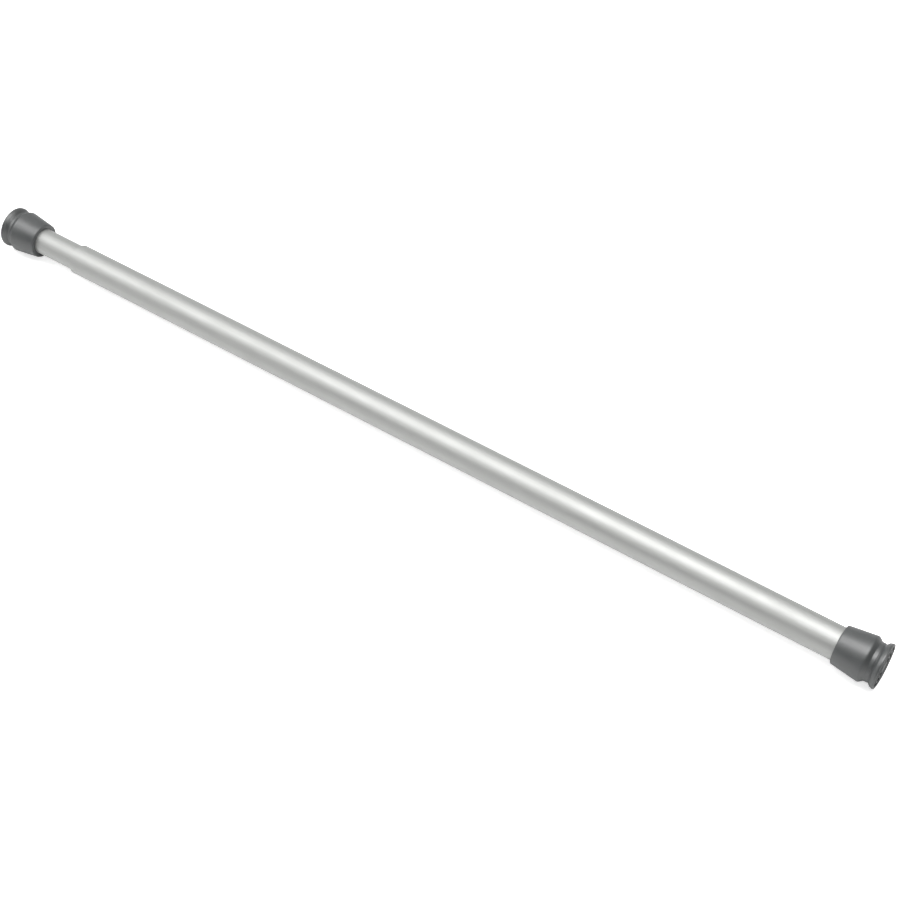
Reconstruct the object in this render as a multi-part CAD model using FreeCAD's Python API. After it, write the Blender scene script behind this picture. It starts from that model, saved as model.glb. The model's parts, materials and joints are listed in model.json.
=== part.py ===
"""Bed cargo bar: two telescoping aluminium tubes with rubber feet, a twist lock and a spring.

The bar is wedged between the two side walls of a truck bed. The small tube slides in the big
one for length. Turning the small tube turns an eccentric inside the big tube, which wedges a
split ring against its bore. A coil spring between that lock and the small tube presses the
two feet against the walls.

Millimetres, +Z up. The origin is the centre of the big tube's foot pad and +X points out of
that pad, so the bar runs along -X. A "station" is a distance from the origin along -X.
"""

import FreeCAD, Part
import math
import os

# Whole bar at rest
bar_length = 1280.0
length_travel = 380.0

# Tubes
outer_tube_diameter = 40.0
outer_tube_wall = 1.5
outer_mouth_station = 1162.0
inner_tube_diameter = 34.5
inner_tube_wall = 1.5

# Rubber feet: the same outside on both tubes
foot_length = 53.4
foot_rim_radius = 27.1
foot_bead_radius = 27.4
foot_bead_station = 2.0
foot_flare_radius = 26.2
foot_flare_station = 5.2
foot_crease_radius = 23.2
foot_crease_station = 8.0
foot_neck_radius = 23.8
foot_neck_start = 9.4
foot_neck_end = 13.3
foot_shoulder_radius = 27.9
foot_shoulder_station = 18.5
foot_mouth_radius = 23.2
foot_pad_thickness = 7.0
tread_groove_depth = 1.6
tread_groove_width = 4.6
tread_groove_radii = (9.0, 15.5, 22.0)

# End plugs that close the tubes under the feet
plug_flange_thickness = 2.0
plug_spigot_length = 14.0
plug_wall = 3.0

# Guide bush in the big tube's mouth
bush_recess = 2.0
bush_length = 50.0
bush_clearance = 0.15
bush_slit = 2.0

# Twist lock
cam_eccentricity = 1.25
lock_angle = 28.0
lock_clearance = 0.05
journal_radius = 12.0
journal_clearance = 0.1
cam_ring_slit = 4.0
cam_ring_groove_width = 2.4
cam_ring_groove_depth = 2.1
ring_side_play = 0.4
cam_neck_radius = 15.0
cam_collar_radius = 17.2
cam_pin_radius = 2.0
cam_pin_length = 29.2
end_disc_radius = 16.5
screw_head_radius = 4.75
screw_head_height = 3.2
screw_recess_flats = 3.0
screw_recess_depth = 1.8
drag_wire_radius = 0.6
drag_spring_gap = 6.0

# Hexagon spindle
hexagon_flats = 8.0
hexagon_clearance = 0.15
spindle_screw_radius = 2.5
spindle_screw_depth = 18.0
spindle_stub_radius = 3.0
spindle_stub_length = 10.0
stop_washer_radius = 9.0
stop_nut_flats = 10.0

# Coil spring
spring_wire = 3.5
spring_mean_radius = 15.5
spring_length = 120.0
spring_turns = 11.0
washer_radius = 17.3
washer_bore_radius = 4.82

# Keyed guide in the small tube's hidden end
guide_flange = 4.0
guide_spigot_length = 26.0
wear_ring_width = 16.0
wear_ring_clearance = 0.25
guide_pin_radius = 2.0
guide_pin_depth = 8.0

outer_tube_radius = outer_tube_diameter / 2
outer_bore_radius = outer_tube_radius - outer_tube_wall
inner_tube_radius = inner_tube_diameter / 2
inner_bore_radius = inner_tube_radius - inner_tube_wall
tube_seat = foot_pad_thickness + plug_flange_thickness
bush_inner_station = outer_mouth_station - bush_recess - bush_length
inner_tube_start = bush_inner_station - length_travel - wear_ring_width - 1.0
guide_face = inner_tube_start - guide_flange

# Stations of the pieces between the spring and the lock's end disc
seat_washer_thickness = 1.6
spring_far_end = guide_face - seat_washer_thickness - 0.2
spring_near_end = spring_far_end - spring_length
seat_station = spring_near_end - seat_washer_thickness
guide_neck_length = 10.0
collar_width = 3.5
journal_length = 26.0
end_disc_thickness = 2.5
collar_station = seat_station - guide_neck_length
journal_station = collar_station - collar_width
journal_end = journal_station - journal_length
stop_gap = 0.3
stop_washer_thickness = 1.6
stop_nut_thickness = 5.0
spindle_far_end = inner_tube_start + guide_spigot_length + stop_gap

# Place of the eccentric when the lock is tight
lock_radians = math.radians(lock_angle)
lock_shift = 2 * cam_eccentricity * math.sin(lock_radians / 2)
cam_ring_radius = outer_bore_radius - lock_shift - lock_clearance
journal_y = -cam_eccentricity * math.sin(lock_radians)
journal_z = cam_eccentricity * math.cos(lock_radians)
ring_shift_z = journal_z - cam_eccentricity

LENGTH_AXIS = FreeCAD.Vector(1, 0, 0)


def tangent_points(before, corner, after, rounding):
    """Start, middle and end of the arc that rounds a corner of an outline."""
    inward = (before - corner).normalize()
    onward = (after - corner).normalize()
    half_angle = inward.getAngle(onward) / 2
    reach = rounding / math.tan(half_angle)
    bisector = (inward + onward).normalize()
    centre = corner + bisector * (rounding / math.sin(half_angle))
    return corner + inward * reach, centre - bisector * rounding, corner + onward * reach


def turned(corners):
    """Solid of revolution about X from (station, radius, rounding) corners of its section."""
    points = [FreeCAD.Vector(-station, 0, radius) for station, radius, _ in corners]
    count = len(points)
    edges = []
    ends = []
    for i, (_, _, rounding) in enumerate(corners):
        if rounding > 0:
            arc = tangent_points(points[i - 1], points[i], points[(i + 1) % count], rounding)
            edges.append((i, Part.Arc(*arc).toShape()))
            ends.append((arc[0], arc[2]))
        else:
            ends.append((points[i], points[i]))
    arcs = dict(edges)
    outline = []
    for i in range(count):
        if i in arcs:
            outline.append(arcs[i])
        start = ends[i][1]
        finish = ends[(i + 1) % count][0]
        if (finish - start).Length > 1e-6:
            outline.append(Part.LineSegment(start, finish).toShape())
    section = Part.Face(Part.Wire(outline))
    return section.revolve(FreeCAD.Vector(0, 0, 0), LENGTH_AXIS, 360)


def rod(start, finish, radius, y=0.0, z=0.0):
    """Round bar along X between two stations."""
    base = FreeCAD.Vector(-finish, y, z)
    return Part.makeCylinder(radius, finish - start, base, LENGTH_AXIS)


def tube(start, finish, bore, radius, edge=0.0):
    """Round tube between two stations, its outer edges rounded by edge."""
    return turned(
        [(start, bore, 0), (start, radius, edge), (finish, radius, edge), (finish, bore, 0)]
    )


def hexagon(start, finish, flats):
    """Hexagonal bar along X between two stations, with two flats level."""
    corner_radius = flats / math.sqrt(3)
    corners = []
    for i in range(7):
        angle = math.radians(60 * i)
        y = corner_radius * math.cos(angle)
        z = corner_radius * math.sin(angle)
        corners.append(FreeCAD.Vector(-finish, y, z))
    face = Part.Face(Part.makePolygon(corners))
    return face.extrude(FreeCAD.Vector(finish - start, 0, 0))


def at_small_end(shape):
    """The piece turned end for end, as it sits on the small tube's end of the bar."""
    moved = shape.copy()
    moved.rotate(FreeCAD.Vector(0, 0, 0), FreeCAD.Vector(0, 0, 1), 180)
    moved.translate(FreeCAD.Vector(-bar_length, 0, 0))
    return moved


def foot(bore_radius):
    """Moulded rubber cup: beaded pad, crease, neck, rounded shoulder and a cone to its mouth."""
    cup = turned(
        [
            (0, 0, 0),
            (0, foot_rim_radius, 0.9),
            (foot_bead_station, foot_bead_radius, 1.0),
            (foot_flare_station, foot_flare_radius, 2.0),
            (foot_crease_station, foot_crease_radius, 0.3),
            (foot_neck_start, foot_neck_radius, 0.5),
            (foot_neck_end, foot_neck_radius, 1.5),
            (foot_shoulder_station, foot_shoulder_radius, 4.0),
            (foot_length, foot_mouth_radius, 1.8),
            (foot_length, bore_radius, 0.5),
            (foot_pad_thickness, bore_radius, 0),
            (foot_pad_thickness, 0, 0),
        ]
    )
    for radius in tread_groove_radii:
        half = tread_groove_width / 2
        cup = cup.cut(tube(-1, tread_groove_depth, radius - half, radius + half))
    return cup


def end_plug(tube_radius, bore_radius):
    """Flanged cup that closes a tube's end and carries the foot's pad."""
    finish = tube_seat + plug_spigot_length
    return turned(
        [
            (foot_pad_thickness, 0, 0),
            (foot_pad_thickness, tube_radius, 0),
            (tube_seat, tube_radius, 0),
            (tube_seat, bore_radius, 0),
            (finish, bore_radius, 1.0),
            (finish, bore_radius - plug_wall, 0),
            (tube_seat + plug_wall, bore_radius - plug_wall, 0),
            (tube_seat + plug_wall, 0, 0),
        ]
    )


def mouth_bush():
    """Split guide sleeve in the big tube's mouth."""
    start = bush_inner_station
    finish = outer_mouth_station - bush_recess
    sleeve = tube(start, finish, inner_tube_radius + bush_clearance, outer_bore_radius)
    slit = Part.makeBox(bush_length + 2, bush_slit, outer_tube_diameter)
    slit.translate(FreeCAD.Vector(-finish - 1, -bush_slit / 2, -outer_tube_diameter))
    return sleeve.cut(slit)


def guide_ring():
    """Plastic ring that keeps the lock's plug in the middle of the big tube."""
    start = collar_station + ring_side_play
    finish = seat_station - ring_side_play
    bore = cam_neck_radius + journal_clearance
    return tube(start, finish, bore, outer_bore_radius - wear_ring_clearance, 0.6)


def drag_spring():
    """Open wire ring that rubs in the big tube and keeps the split ring from turning."""
    centre = journal_station - journal_length / 2
    mean = outer_bore_radius - drag_wire_radius - lock_clearance
    ring = Part.makeTorus(mean, drag_wire_radius, FreeCAD.Vector(-centre, 0, 0), LENGTH_AXIS)
    gap = Part.makeBox(drag_spring_gap, drag_spring_gap, outer_tube_diameter)
    half = drag_spring_gap / 2
    gap.translate(FreeCAD.Vector(-centre - half, -half, -outer_tube_diameter))
    return ring.cut(gap)


def spindle_rod():
    """Hexagon bar with a screw hole at the lock's end and a threaded stub at the other."""
    bar = hexagon(journal_end, spindle_far_end, hexagon_flats)
    stub = rod(spindle_far_end, spindle_far_end + spindle_stub_length, spindle_stub_radius)
    hole = rod(journal_end - 1, journal_end + spindle_screw_depth, spindle_screw_radius)
    return bar.fuse(stub).cut(hole).cut(cam_pin())


def cam_core():
    """Plug with a neck for the guide ring, a collar and the eccentric journal."""
    neck = rod(collar_station, seat_station, cam_neck_radius)
    collar = rod(journal_station, collar_station, cam_collar_radius)
    journal = rod(journal_end, journal_station, journal_radius, journal_y, journal_z)
    socket = hexagon(journal_end - 1, seat_station + 1, hexagon_flats + 0.1)
    return neck.fuse(collar).fuse(journal).cut(socket).cut(cam_pin())


def cam_pin():
    """Cross pin that holds the plug on the spindle, under the guide ring."""
    station = (collar_station + seat_station) / 2
    base = FreeCAD.Vector(-station, 0, -cam_pin_length / 2)
    return Part.makeCylinder(cam_pin_radius, cam_pin_length, base, FreeCAD.Vector(0, 0, 1))


def cam_end_disc():
    """Steel disc that keeps the split ring on its journal."""
    start = journal_end - end_disc_thickness
    return tube(start, journal_end, spindle_screw_radius + 0.1, end_disc_radius, 0.4)


def cam_screw():
    """Pan-head screw through the end disc into the spindle."""
    face = journal_end - end_disc_thickness
    top = face - screw_head_height
    head = tube(top, face, 0.0, screw_head_radius)
    recess = hexagon(top - 1, top + screw_recess_depth, screw_recess_flats)
    shank = rod(face, journal_end + spindle_screw_depth - 2, spindle_screw_radius)
    return head.fuse(shank).cut(recess)


def spring_seat():
    """Washer between the spring and the lock's plug."""
    return tube(seat_station, spring_near_end, washer_bore_radius, washer_radius)


def compression_spring():
    """Round-wire coil spring around the spindle, guided by the big tube's bore."""
    pitch = (spring_length - spring_wire) / spring_turns
    helix = Part.makeHelix(pitch, spring_length - spring_wire, spring_mean_radius)
    start = FreeCAD.Vector(spring_mean_radius, 0, 0)
    wire = Part.Wire(Part.makeCircle(spring_wire / 2, start, FreeCAD.Vector(0, 1, 0)).Edges)
    coil = Part.Wire(helix.Edges).makePipeShell([wire], True, True)
    coil.rotate(FreeCAD.Vector(0, 0, 0), FreeCAD.Vector(0, 1, 0), 90)
    coil.translate(FreeCAD.Vector(-spring_far_end + spring_wire / 2, 0, 0))
    return coil


def stop_washer():
    """Washer that the keyed guide rests against at the spring's longest."""
    finish = spindle_far_end + stop_washer_thickness
    return tube(spindle_far_end, finish, spindle_stub_radius, stop_washer_radius)


def stop_nut():
    """Lock nut on the spindle's threaded stub."""
    start = spindle_far_end + stop_washer_thickness
    finish = start + stop_nut_thickness
    bore = rod(start - 1, finish + 1, spindle_stub_radius)
    return hexagon(start, finish, stop_nut_flats).cut(bore)


def cam_ring():
    """Split ring: round outside, its bore off centre so that it fits the journal."""
    start = journal_end + ring_side_play
    finish = journal_station - ring_side_play
    centre = journal_station - journal_length / 2
    body = rod(start, finish, cam_ring_radius, journal_y, ring_shift_z)
    bore_radius = journal_radius + journal_clearance
    bore = rod(start - 1, finish + 1, bore_radius, journal_y, journal_z)
    half = cam_ring_groove_width / 2
    floor = outer_bore_radius - cam_ring_groove_depth
    groove = tube(centre - half, centre + half, floor, outer_tube_radius)
    slit = Part.makeBox(journal_length + 2, cam_ring_slit, outer_tube_diameter)
    slit.translate(FreeCAD.Vector(-finish - 1, journal_y - cam_ring_slit / 2, -outer_tube_diameter))
    return body.cut(bore).cut(groove).cut(slit)


def keyed_guide():
    """Flanged plug in the small tube's hidden end, with a hexagon hole for the spindle."""
    finish = inner_tube_start + guide_spigot_length
    flange = rod(guide_face, inner_tube_start, outer_bore_radius - wear_ring_clearance)
    spigot = rod(inner_tube_start, finish, inner_bore_radius)
    hole = hexagon(guide_face - 1, finish + 1, hexagon_flats + 2 * hexagon_clearance)
    return drilled(flange.fuse(spigot).cut(hole))


def guide_pin(side):
    """Short cross pin through wear ring, small tube and keyed guide, on the +Y or -Y side."""
    inner_end = guide_pin_depth
    outer_end = outer_bore_radius - 0.6
    station = inner_tube_start + wear_ring_width / 2
    base = FreeCAD.Vector(-station, side * inner_end, 0)
    outward = FreeCAD.Vector(0, side, 0)
    return Part.makeCylinder(guide_pin_radius, outer_end - inner_end, base, outward)


def drilled(shape):
    """The shape with the holes of both guide pins."""
    return shape.cut(guide_pin(-1)).cut(guide_pin(1))


def wear_ring():
    """Plastic ring round the small tube's hidden end, a sliding fit in the big tube."""
    finish = inner_tube_start + wear_ring_width
    outside = outer_bore_radius - wear_ring_clearance
    ring = tube(inner_tube_start, finish, inner_tube_radius, outside, 0.5)
    return drilled(ring)


def spring_washer():
    """Loose steel washer between the spring and the keyed guide."""
    start = guide_face - seat_washer_thickness
    return tube(start, guide_face, washer_bore_radius, washer_radius)


def inner_tube():
    """Small tube, drilled at its hidden end for the guide pins."""
    finish = bar_length - tube_seat
    return drilled(tube(inner_tube_start, finish, inner_bore_radius, inner_tube_radius))


nodes = {
    "outer_tube": tube(tube_seat, outer_mouth_station, outer_bore_radius, outer_tube_radius, 0.4),
    "outer_foot": foot(outer_tube_radius),
    "outer_end_plug": end_plug(outer_tube_radius, outer_bore_radius),
    "mouth_bush": mouth_bush(),
    "guide_ring": guide_ring(),
    "drag_spring": drag_spring(),
    "spindle_rod": spindle_rod(),
    "cam_core": cam_core(),
    "cam_pin": cam_pin(),
    "cam_end_disc": cam_end_disc(),
    "cam_screw": cam_screw(),
    "spring_seat": spring_seat(),
    "compression_spring": compression_spring(),
    "stop_washer": stop_washer(),
    "stop_nut": stop_nut(),
    "cam_ring": cam_ring(),
    "inner_tube": inner_tube(),
    "inner_foot": at_small_end(foot(inner_tube_radius)),
    "inner_end_plug": at_small_end(end_plug(inner_tube_radius, inner_bore_radius)),
    "keyed_guide": keyed_guide(),
    "guide_pin_front": guide_pin(-1),
    "guide_pin_back": guide_pin(1),
    "wear_ring": wear_ring(),
    "spring_washer": spring_washer(),
}

os.makedirs("parts", exist_ok=True)
for name, shape in nodes.items():
    shape.exportStep(f"parts/{name}.step")
    box = shape.BoundBox
    print(name, shape.isValid(), len(shape.Solids), round(shape.Volume), end="  ")
    print(round(box.XMin, 2), round(box.XMax, 2), round(box.YLength, 2), round(box.ZLength, 2))
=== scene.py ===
"""Looks of the bed cargo bar: anodised tubes, moulded rubber feet and the lock's small parts.

Metres, +Z up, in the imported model's own frame: the origin is the centre of the big tube's foot pad and
the bar runs along -X. A "station" is a distance in millimetres from the origin along -X.
"""

import json
import math

import bpy
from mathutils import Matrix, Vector


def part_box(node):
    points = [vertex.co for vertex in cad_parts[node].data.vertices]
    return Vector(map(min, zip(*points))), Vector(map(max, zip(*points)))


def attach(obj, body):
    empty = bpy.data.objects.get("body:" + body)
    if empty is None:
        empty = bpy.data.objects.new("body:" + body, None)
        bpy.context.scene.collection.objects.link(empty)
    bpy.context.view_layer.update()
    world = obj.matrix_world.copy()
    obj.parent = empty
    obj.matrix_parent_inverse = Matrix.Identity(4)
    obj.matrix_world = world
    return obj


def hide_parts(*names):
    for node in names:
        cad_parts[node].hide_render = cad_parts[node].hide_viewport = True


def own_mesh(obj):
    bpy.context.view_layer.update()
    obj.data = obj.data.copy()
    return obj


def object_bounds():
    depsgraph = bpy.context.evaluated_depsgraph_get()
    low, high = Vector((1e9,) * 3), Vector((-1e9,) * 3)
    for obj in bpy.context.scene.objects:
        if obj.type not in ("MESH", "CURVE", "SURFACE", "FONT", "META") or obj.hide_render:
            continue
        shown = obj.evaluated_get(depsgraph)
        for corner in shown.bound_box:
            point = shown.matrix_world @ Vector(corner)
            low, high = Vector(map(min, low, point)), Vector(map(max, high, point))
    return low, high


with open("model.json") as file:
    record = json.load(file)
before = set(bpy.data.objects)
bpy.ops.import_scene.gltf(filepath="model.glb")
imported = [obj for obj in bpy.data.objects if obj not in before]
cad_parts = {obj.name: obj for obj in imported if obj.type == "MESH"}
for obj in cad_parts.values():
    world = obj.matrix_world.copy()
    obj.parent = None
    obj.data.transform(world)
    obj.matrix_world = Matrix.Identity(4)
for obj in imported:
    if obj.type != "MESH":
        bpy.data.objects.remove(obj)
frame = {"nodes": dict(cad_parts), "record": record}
cad_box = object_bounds()

MM = 0.001
TURN_STEPS = 128
ARC_STEP = math.radians(12)
SMOOTH_ANGLE = math.radians(35)

# Tubes and mouth bush, in millimetres
tube_wall = 1.5
tube_end_rounding = 0.4
bush_bore_gap = 0.15
bush_bore_rounding = 0.2
bush_edge_rounding = 0.3
bush_slit = 2.0
guide_pin_radius = 2.0
guide_pin_station = 721.0
drill_length = 60.0

# Rubber foot, in millimetres from its pad face
foot_rim_radius = 27.1
foot_bead_radius = 27.4
foot_bead_station = 2.0
foot_flare_radius = 26.2
foot_flare_station = 5.2
foot_crease_radius = 23.2
foot_crease_station = 8.0
foot_neck_radius = 23.8
foot_neck_start = 9.4
foot_neck_end = 13.3
foot_shoulder_radius = 27.9
foot_shoulder_station = 18.5
foot_mouth_radius = 23.2
foot_pad_thickness = 7.0
tread_groove_depth = 1.6
tread_groove_width = 4.6
tread_groove_radii = (9.0, 15.5, 22.0)
tread_lip_rounding = 0.3
tread_floor_rounding = 0.4

# Coil spring, in millimetres; a closed turn rises by a little more than one wire
spring_wire = 3.5
spring_turns = 11.0
spring_closed_turns = 1.0
spring_closed_pitch = 1.02 * spring_wire
spring_points_per_turn = 24

# Floor, lights and camera, in metres; the lights are placed from the middle of the bar
cad_middle = sum(cad_box, Vector()) / 2
floor_size = 30.0
floor_gap = 0.1 * MM
strip_place = Vector((-0.9, -0.32, 1.6))
strip_length = 4.4
strip_depth = 1.2
strip_power = 48
strip_turn = math.radians(13)
key_place = Vector((0.75, -0.13, 1.58))
key_length = 1.4
key_depth = 0.6
key_power = 8.8
camera_azimuth = math.radians(34.11)
camera_elevation = math.radians(48.56)
camera_distance = 2.042
camera_aim = Vector((-0.5635, -0.0042, 0))
camera_sensor = 36.0
camera_lens = 68.0


# Modelling


def station_of(x):
    """Station in millimetres of a place along the bar."""
    return -x / MM


def deselect():
    """Clears the selection, because an operator works on all that is selected."""
    bpy.ops.object.select_all(action="DESELECT")


def rounded_outline(corners, closed):
    """Points of an outline from (station, radius, rounding) corners, with each rounding an arc."""
    points = []
    count = len(corners)
    for i, (station, radius, rounding) in enumerate(corners):
        corner = Vector((station, radius))
        at_end = not closed and i in (0, count - 1)
        if rounding == 0 or at_end:
            points.append(corner)
            continue
        before = Vector(corners[i - 1][:2])
        after = Vector(corners[(i + 1) % count][:2])
        inward = (before - corner).normalized()
        onward = (after - corner).normalized()
        half_angle = inward.angle(onward) / 2
        reach = rounding / math.tan(half_angle)
        centre = corner + (inward + onward).normalized() * (rounding / math.sin(half_angle))
        start = corner + inward * reach - centre
        turn = math.pi - 2 * half_angle
        side = 1 if inward.cross(onward) < 0 else -1
        steps = max(2, math.ceil(turn / ARC_STEP))
        for k in range(steps + 1):
            angle = side * turn * k / steps
            cosine, sine = math.cos(angle), math.sin(angle)
            spoke = Vector((start.x * cosine - start.y * sine, start.x * sine + start.y * cosine))
            points.append(centre + spoke)
    return points


def turned(name, corners, closed=True):
    """Draws a half section by extruding one vertex from corner to corner and spins it round the bar."""
    outline = rounded_outline(corners, closed)
    deselect()
    first = Vector((-outline[0].x * MM, 0, outline[0].y * MM))
    bpy.ops.mesh.primitive_plane_add(size=MM, location=first)
    piece = bpy.context.object
    piece.name = name
    bpy.ops.object.transform_apply(location=True, rotation=True, scale=True)
    bpy.ops.object.mode_set(mode="EDIT")
    bpy.ops.mesh.select_all(action="SELECT")
    bpy.ops.mesh.merge(type="CENTER")
    route = outline + outline[:1] if closed else outline
    for here, there in zip(route, route[1:]):
        step = (there - here) * MM
        bpy.ops.mesh.extrude_region_move(TRANSFORM_OT_translate={"value": (-step.x, 0, step.y)})
    bpy.ops.mesh.select_all(action="SELECT")
    bpy.ops.mesh.spin(steps=TURN_STEPS, angle=2 * math.pi, center=(0, 0, 0), axis=(1, 0, 0))
    bpy.ops.mesh.select_all(action="SELECT")
    bpy.ops.mesh.remove_doubles(threshold=1e-6)
    bpy.ops.mesh.normals_make_consistent(inside=False)
    bpy.ops.object.mode_set(mode="OBJECT")
    bpy.ops.object.shade_smooth_by_angle(angle=SMOOTH_ANGLE)
    return piece


def cut(piece, cutter):
    """Cuts a second shape out of a piece and removes the cutter."""
    modifier = piece.modifiers.new("cut", "BOOLEAN")
    modifier.object = cutter
    modifier.solver = "EXACT"
    deselect()
    bpy.context.view_layer.objects.active = piece
    piece.select_set(True)
    bpy.ops.object.modifier_apply(modifier=modifier.name)
    bpy.data.objects.remove(cutter, do_unlink=True)
    bpy.ops.object.shade_smooth_by_angle(angle=SMOOTH_ANGLE)


def finish_piece(piece, body, node, material):
    """Gives a piece its material and its body, and hides the CAD node that it stands for."""
    piece.data.materials.clear()
    piece.data.materials.append(material)
    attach(piece, body)
    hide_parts(node)


def tube_outline(node):
    """Square-cut tube with softly broken edges, from its CAD node's box."""
    low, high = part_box(node)
    start, end = station_of(high.x), station_of(low.x)
    radius = high.z / MM
    bore = radius - tube_wall
    return [
        (start, bore, tube_end_rounding),
        (start, radius, tube_end_rounding),
        (end, radius, tube_end_rounding),
        (end, bore, tube_end_rounding),
    ]


def foot_outline(bore):
    """Half section of the foot: grooved pad, beaded rim, crease, neck, shoulder and cone."""
    low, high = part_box("outer_foot")
    length = (high.x - low.x) / MM
    pad = [(0, 0, 0)]
    for radius in tread_groove_radii:
        inner = radius - tread_groove_width / 2
        outer = radius + tread_groove_width / 2
        pad += [
            (0, inner, tread_lip_rounding),
            (tread_groove_depth, inner, tread_floor_rounding),
            (tread_groove_depth, outer, tread_floor_rounding),
            (0, outer, tread_lip_rounding),
        ]
    return pad + [
        (0, foot_rim_radius, 0.9),
        (foot_bead_station, foot_bead_radius, 1.0),
        (foot_flare_station, foot_flare_radius, 2.0),
        (foot_crease_station, foot_crease_radius, 0.3),
        (foot_neck_start, foot_neck_radius, 0.5),
        (foot_neck_end, foot_neck_radius, 1.5),
        (foot_shoulder_station, foot_shoulder_radius, 4.0),
        (length, foot_mouth_radius, 1.8),
        (length, bore, 0.5),
        (foot_pad_thickness, bore, 0),
        (foot_pad_thickness, 0, 0),
    ]


def mirrored(corners, bar_length):
    """The same outline on the small tube's end of the bar."""
    return [(bar_length - station, radius, rounding) for station, radius, rounding in corners]


def build_tubes(materials):
    """Big and small tube, the small one drilled for its guide pins."""
    big = turned("outer_tube_drawn", tube_outline("outer_tube"))
    finish_piece(big, "big_tube", "outer_tube", materials["aluminium"])
    small = turned("inner_tube_drawn", tube_outline("inner_tube"))
    deselect()
    bpy.ops.mesh.primitive_cylinder_add(
        vertices=48,
        radius=guide_pin_radius * MM,
        depth=drill_length * MM,
        location=(-guide_pin_station * MM, 0, 0),
        rotation=(math.pi / 2, 0, 0),
    )
    cut(small, bpy.context.object)
    finish_piece(small, "small_tube", "inner_tube", materials["aluminium"])


def build_feet(materials):
    """Both rubber feet: the same outside, bored for their own tube."""
    bar_length = station_of(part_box("inner_foot")[0].x)
    big_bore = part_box("outer_tube")[1].z / MM
    small_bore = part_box("inner_tube")[1].z / MM
    big = turned("outer_foot_moulded", foot_outline(big_bore), closed=False)
    finish_piece(big, "big_tube", "outer_foot", materials["rubber"])
    outline = mirrored(foot_outline(small_bore), bar_length)
    small = turned("inner_foot_moulded", outline, closed=False)
    finish_piece(small, "small_tube", "inner_foot", materials["rubber"])


def build_mouth_bush(materials):
    """Thin split sleeve in the big tube's mouth."""
    low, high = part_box("mouth_bush")
    start, end = station_of(high.x), station_of(low.x)
    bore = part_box("inner_tube")[1].z / MM + bush_bore_gap
    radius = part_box("outer_tube")[1].z / MM - tube_wall
    corners = [
        (start, bore, bush_bore_rounding),
        (start, radius, bush_edge_rounding),
        (end, radius, bush_edge_rounding),
        (end, bore, bush_bore_rounding),
    ]
    bush = turned("mouth_bush_moulded", corners)
    deselect()
    middle = ((low.x + high.x) / 2, 0, -radius * MM)
    bpy.ops.mesh.primitive_cube_add(size=1, location=middle)
    slit = bpy.context.object
    overshoot = 4 * MM
    slit.scale = (high.x - low.x + overshoot, bush_slit * MM, radius * MM)
    cut(bush, slit)
    finish_piece(bush, "big_tube", "mouth_bush", materials["nylon"])


def build_spring(materials):
    """Coil spring with a closed turn at each end, wound as a curve along the bar."""
    low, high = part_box("compression_spring")
    length = high.x - low.x - spring_wire * MM
    mean_radius = high.z - spring_wire * MM / 2
    middle_turns = spring_turns - 2 * spring_closed_turns
    closed_rise = spring_closed_pitch * MM * spring_closed_turns
    middle_rise = length - 2 * closed_rise
    deselect()
    bpy.ops.curve.primitive_nurbs_path_add(radius=MM)
    coil = bpy.context.object
    coil.name = "compression_spring_wound"
    coil.data.splines.clear()
    spline = coil.data.splines.new("NURBS")
    count = int(spring_turns * spring_points_per_turn) + 1
    spline.points.add(count - 1)
    for i, point in enumerate(spline.points):
        turn = i / spring_points_per_turn
        closing = min(turn, spring_closed_turns) + max(0, turn - spring_turns + spring_closed_turns)
        opening = min(max(turn - spring_closed_turns, 0), middle_turns)
        rise = closed_rise * closing / spring_closed_turns + middle_rise * opening / middle_turns
        x = high.x - spring_wire * MM / 2 - rise
        angle = 2 * math.pi * turn
        point.co = (x, mean_radius * math.cos(angle), mean_radius * math.sin(angle), 1)
    spline.use_endpoint_u = True
    spline.order_u = 4
    coil.data.bevel_depth = spring_wire * MM / 2
    coil.data.bevel_resolution = 5
    coil.data.use_fill_caps = True
    bpy.ops.object.convert(target="MESH")
    coil = bpy.context.object
    bpy.ops.object.transform_apply(location=True, rotation=True, scale=True)
    bpy.ops.object.shade_smooth_by_angle(angle=SMOOTH_ANGLE)
    finish_piece(coil, "spindle", "compression_spring", materials["spring"])
    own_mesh(coil)


# Materials


def linear(colour):
    """Linear RGBA from an sRGB hex colour."""
    channels = [int(colour[i : i + 2], 16) / 255 for i in (1, 3, 5)]
    lit = [c / 12.92 if c <= 0.04045 else ((c + 0.055) / 1.055) ** 2.4 for c in channels]
    return (*lit, 1.0)


def per_metre(size):
    """Texture scale whose features are about that many millimetres across."""
    return 1 / (size * MM)


def add_node(tree, kind, inputs, **settings):
    """Adds a shader node with its settings, its inputs given as values or as other nodes' outputs."""
    node = tree.nodes.new("ShaderNode" + kind)
    for name, value in settings.items():
        setattr(node, name, value)
    for name, value in inputs.items():
        if isinstance(value, bpy.types.NodeSocket):
            tree.links.new(value, node.inputs[name])
        else:
            node.inputs[name].default_value = value
    return node


def new_material(name):
    """Empty node material with its shader and the piece's own coordinates."""
    material = bpy.data.materials.new(name)
    material.use_nodes = True
    tree = material.node_tree
    shader = tree.nodes["Principled BSDF"]
    place = add_node(tree, "TexCoord", {}).outputs["Object"]
    return material, tree, shader, place


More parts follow.
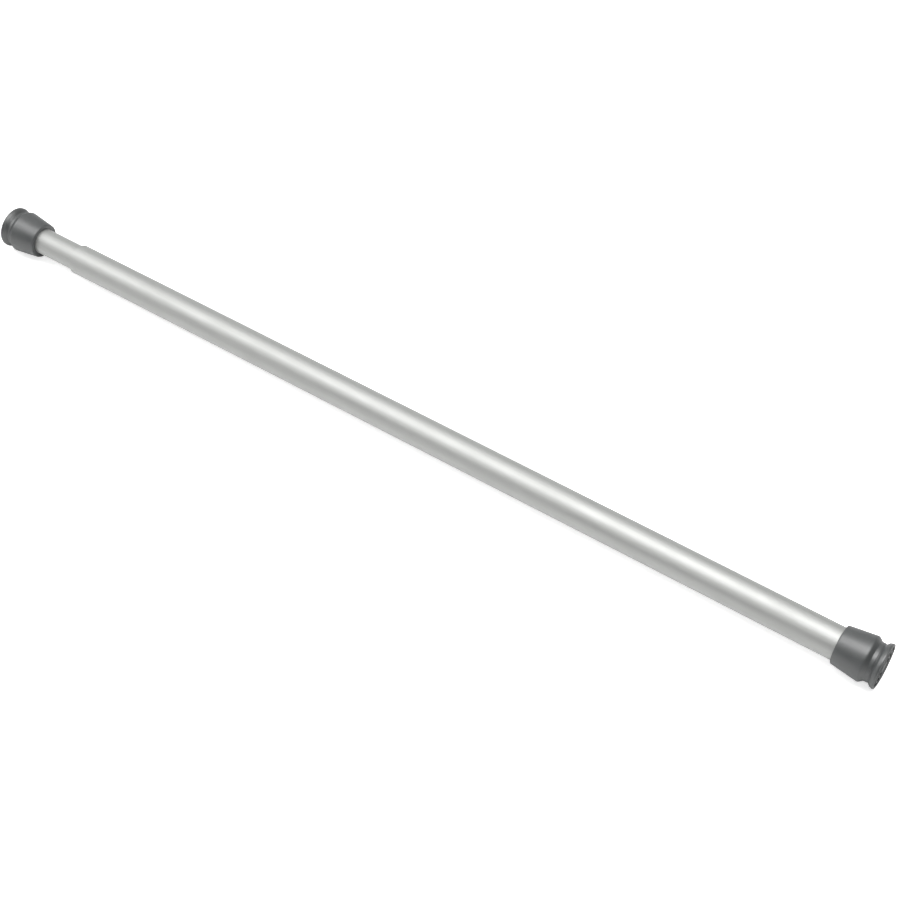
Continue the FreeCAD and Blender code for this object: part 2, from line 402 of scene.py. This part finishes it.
def anodised_aluminium():
    """Extruded tube, satin anodised: fine die lines along the tube under a soft matt bloom."""
    material, tree, shader, place = new_material("anodised_aluminium")
    shader.inputs["Metallic"].default_value = 1.0
    # Die lines are a few tenths of a millimetre apart; drawn wider so that they show.
    along = add_node(tree, "Mapping", {"Vector": place, "Scale": (0.004, 1, 1)}).outputs[0]
    lines = add_node(
        tree, "TexNoise", {"Vector": along, "Scale": per_metre(1.6), "Detail": 3.0}
    ).outputs["Fac"]
    bloom = add_node(
        tree, "TexNoise", {"Vector": place, "Scale": per_metre(45), "Detail": 4.0}
    ).outputs["Fac"]
    grain = add_node(
        tree, "TexNoise", {"Vector": place, "Scale": per_metre(1.4), "Detail": 2.0}
    ).outputs["Fac"]
    tint = add_node(
        tree,
        "MixRGB",
        {"Fac": lines, "Color1": linear("#B9BAB8"), "Color2": linear("#C2C3C1")},
    ).outputs[0]
    tree.links.new(tint, shader.inputs["Base Color"])
    satin = add_node(
        tree,
        "MapRange",
        {"Value": bloom, "From Min": 0.3, "From Max": 0.7, "To Min": 0.60, "To Max": 0.65},
    ).outputs[0]
    tree.links.new(satin, shader.inputs["Roughness"])
    relief = add_node(
        tree, "Bump", {"Height": lines, "Strength": 0.08, "Distance": 0.05 * MM}
    ).outputs[0]
    etched = add_node(
        tree, "Bump", {"Height": grain, "Normal": relief, "Strength": 0.25, "Distance": 0.05 * MM}
    ).outputs[0]
    tree.links.new(etched, shader.inputs["Normal"])
    return material


def moulded_rubber():
    """Filled rubber from a blasted mould: dark grey, satin, with a fine pebble and dull patches."""
    material, tree, shader, place = new_material("moulded_rubber")
    pebble = add_node(
        tree, "TexNoise", {"Vector": place, "Scale": per_metre(0.9), "Detail": 3.0}
    ).outputs["Fac"]
    patches = add_node(
        tree, "TexNoise", {"Vector": place, "Scale": per_metre(18), "Detail": 5.0}
    ).outputs["Fac"]
    tint = add_node(
        tree,
        "MixRGB",
        {"Fac": patches, "Color1": linear("#353838"), "Color2": linear("#3E4141")},
    ).outputs[0]
    tree.links.new(tint, shader.inputs["Base Color"])
    satin = add_node(
        tree,
        "MapRange",
        {"Value": patches, "From Min": 0.3, "From Max": 0.7, "To Min": 0.42, "To Max": 0.49},
    ).outputs[0]
    tree.links.new(satin, shader.inputs["Roughness"])
    shader.inputs["IOR"].default_value = 1.6
    shader.inputs["Specular IOR Level"].default_value = 1.0
    relief = add_node(
        tree, "Bump", {"Height": pebble, "Strength": 0.25, "Distance": 0.08 * MM}
    ).outputs[0]
    tree.links.new(relief, shader.inputs["Normal"])
    return material


def moulded_plastic(name, low, high, roughness):
    """Injection-moulded plastic with faint flow marks and a fine mould texture."""
    material, tree, shader, place = new_material(name)
    flow = add_node(
        tree, "TexNoise", {"Vector": place, "Scale": per_metre(6), "Detail": 3.0}
    ).outputs["Fac"]
    texture = add_node(
        tree, "TexNoise", {"Vector": place, "Scale": per_metre(0.4), "Detail": 2.0}
    ).outputs["Fac"]
    tint = add_node(
        tree, "MixRGB", {"Fac": flow, "Color1": linear(low), "Color2": linear(high)}
    ).outputs[0]
    tree.links.new(tint, shader.inputs["Base Color"])
    shader.inputs["Roughness"].default_value = roughness
    relief = add_node(
        tree, "Bump", {"Height": texture, "Strength": 0.15, "Distance": 0.03 * MM}
    ).outputs[0]
    tree.links.new(relief, shader.inputs["Normal"])
    return material


def plated_steel(name, low, high, rough_low, rough_high):
    """Steel with a thin plated or oiled surface: cloudy in colour and in gloss."""
    material, tree, shader, place = new_material(name)
    shader.inputs["Metallic"].default_value = 1.0
    cloud = add_node(
        tree, "TexNoise", {"Vector": place, "Scale": per_metre(4), "Detail": 5.0}
    ).outputs["Fac"]
    scratch = add_node(
        tree, "TexNoise", {"Vector": place, "Scale": per_metre(0.3), "Detail": 2.0}
    ).outputs["Fac"]
    tint = add_node(
        tree, "MixRGB", {"Fac": cloud, "Color1": linear(low), "Color2": linear(high)}
    ).outputs[0]
    tree.links.new(tint, shader.inputs["Base Color"])
    gloss = add_node(
        tree,
        "MapRange",
        {
            "Value": cloud,
            "From Min": 0.3,
            "From Max": 0.7,
            "To Min": rough_low,
            "To Max": rough_high,
        },
    ).outputs[0]
    tree.links.new(gloss, shader.inputs["Roughness"])
    relief = add_node(
        tree, "Bump", {"Height": scratch, "Strength": 0.1, "Distance": 0.02 * MM}
    ).outputs[0]
    tree.links.new(relief, shader.inputs["Normal"])
    return material


def studio_floor():
    """Matt pale sheet of a light table, faintly lit from below."""
    material, tree, shader, _ = new_material("studio_floor")
    shader.inputs["Base Color"].default_value = linear("#EDEDED")
    shader.inputs["Roughness"].default_value = 0.9
    shader.inputs["Emission Color"].default_value = linear("#FFFFFF")
    seen = add_node(tree, "LightPath", {}).outputs["Is Camera Ray"]
    glow = add_node(tree, "MapRange", {"Value": seen, "To Min": 0.0, "To Max": 0.7}).outputs[0]
    tree.links.new(glow, shader.inputs["Emission Strength"])
    return material


def dress_cad_nodes(materials):
    """Gives every CAD node the material of its slot, the hidden ones too."""
    finishes = {
        "black_nylon": materials["nylon"],
        "white_acetal": materials["acetal"],
        "zinc_steel": materials["zinc"],
        "spring_steel": materials["spring"],
        "tube_aluminium": materials["aluminium"],
        "foot_rubber": materials["rubber"],
    }
    for part in frame["record"]["subparts"]:
        node = frame["nodes"][part["node"]]
        node.data.materials.clear()
        node.data.materials.append(finishes[part["material_slot"]])


# Scene


def build_floor():
    """Pale floor just under the feet."""
    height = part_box("outer_foot")[0].z - floor_gap
    place = (cad_middle.x, cad_middle.y, height)
    deselect()
    bpy.ops.mesh.primitive_plane_add(size=floor_size, location=place)
    floor = bpy.context.object
    floor.name = "floor"
    floor.data.materials.append(studio_floor())


def add_softbox(name, location, width, depth, power, turn=0.0):
    """Rectangular area light that faces straight down, turned about the vertical."""
    deselect()
    bpy.ops.object.light_add(type="AREA", location=location, rotation=(0, 0, turn))
    lamp = bpy.context.object
    lamp.name = name
    lamp.data.shape = "RECTANGLE"
    lamp.data.size = width
    lamp.data.size_y = depth
    lamp.data.energy = power


def light_scene():
    """Long strip light overhead, a key over the big foot, and pale surroundings.

    The surroundings darken beyond the big foot and low in front, which gives the tubes their
    grey lower half.
    """
    world = bpy.data.worlds.new("studio")
    world.use_nodes = True
    tree = world.node_tree
    direction = add_node(tree, "TexCoord", {}).outputs["Generated"]
    across = add_node(tree, "SeparateXYZ", {"Vector": direction}).outputs["X"]
    along = add_node(
        tree,
        "MapRange",
        {"Value": across, "From Min": -0.4, "From Max": 0.9, "To Min": 0.64, "To Max": 0.10},
    ).outputs[0]
    toward_front = add_node(
        tree, "VectorMath", {0: direction, 1: (0, -0.94, 0.34)}, operation="DOT_PRODUCT"
    ).outputs["Value"]
    front = add_node(
        tree,
        "MapRange",
        {"Value": toward_front, "From Min": 0.55, "From Max": 0.95, "To Min": 1.0, "To Max": 0.35},
    ).outputs[0]
    lit = add_node(tree, "Math", {0: along, 1: front}, operation="MULTIPLY").outputs[0]
    seen = add_node(tree, "LightPath", {}).outputs["Is Camera Ray"]
    strength = add_node(
        tree,
        "MapRange",
        {"Value": seen, "To Min": lit, "To Max": 1.0},
    ).outputs[0]
    tree.links.new(strength, tree.nodes["Background"].inputs["Strength"])
    tree.nodes["Background"].inputs["Color"].default_value = linear("#FFFFFF")
    bpy.context.scene.world = world
    strip = cad_middle + strip_place
    add_softbox("overhead_strip", strip, strip_length, strip_depth, strip_power, strip_turn)
    add_softbox("foot_key", cad_middle + key_place, key_length, key_depth, key_power)
    bpy.context.scene.view_settings.view_transform = "Standard"


def place_camera():
    """Long lens looking down on the bar from beyond its big foot."""
    level = math.cos(camera_elevation)
    back = Vector(
        (
            math.sin(camera_azimuth) * level,
            -math.cos(camera_azimuth) * level,
            math.sin(camera_elevation),
        )
    )
    deselect()
    bpy.ops.object.camera_add(location=camera_aim + back * camera_distance)
    camera = bpy.context.object
    camera.rotation_euler = (-back).to_track_quat("-Z", "Y").to_euler()
    camera.data.sensor_width = camera_sensor
    camera.data.lens = camera_lens
    camera.data.clip_end = 100.0
    bpy.context.scene.camera = camera


materials = {
    "aluminium": anodised_aluminium(),
    "rubber": moulded_rubber(),
    "nylon": moulded_plastic("black_nylon", "#17181A", "#1F2022", 0.42),
    "acetal": moulded_plastic("natural_acetal", "#E4E3DA", "#EDECE6", 0.35),
    "zinc": plated_steel("zinc_plated_steel", "#B7BABC", "#CCCDCB", 0.22, 0.38),
    "spring": plated_steel("oiled_spring_steel", "#4A4C50", "#63656A", 0.25, 0.40),
}
dress_cad_nodes(materials)
build_tubes(materials)
build_feet(materials)
build_mouth_bush(materials)
build_spring(materials)
build_floor()
light_scene()
place_camera()
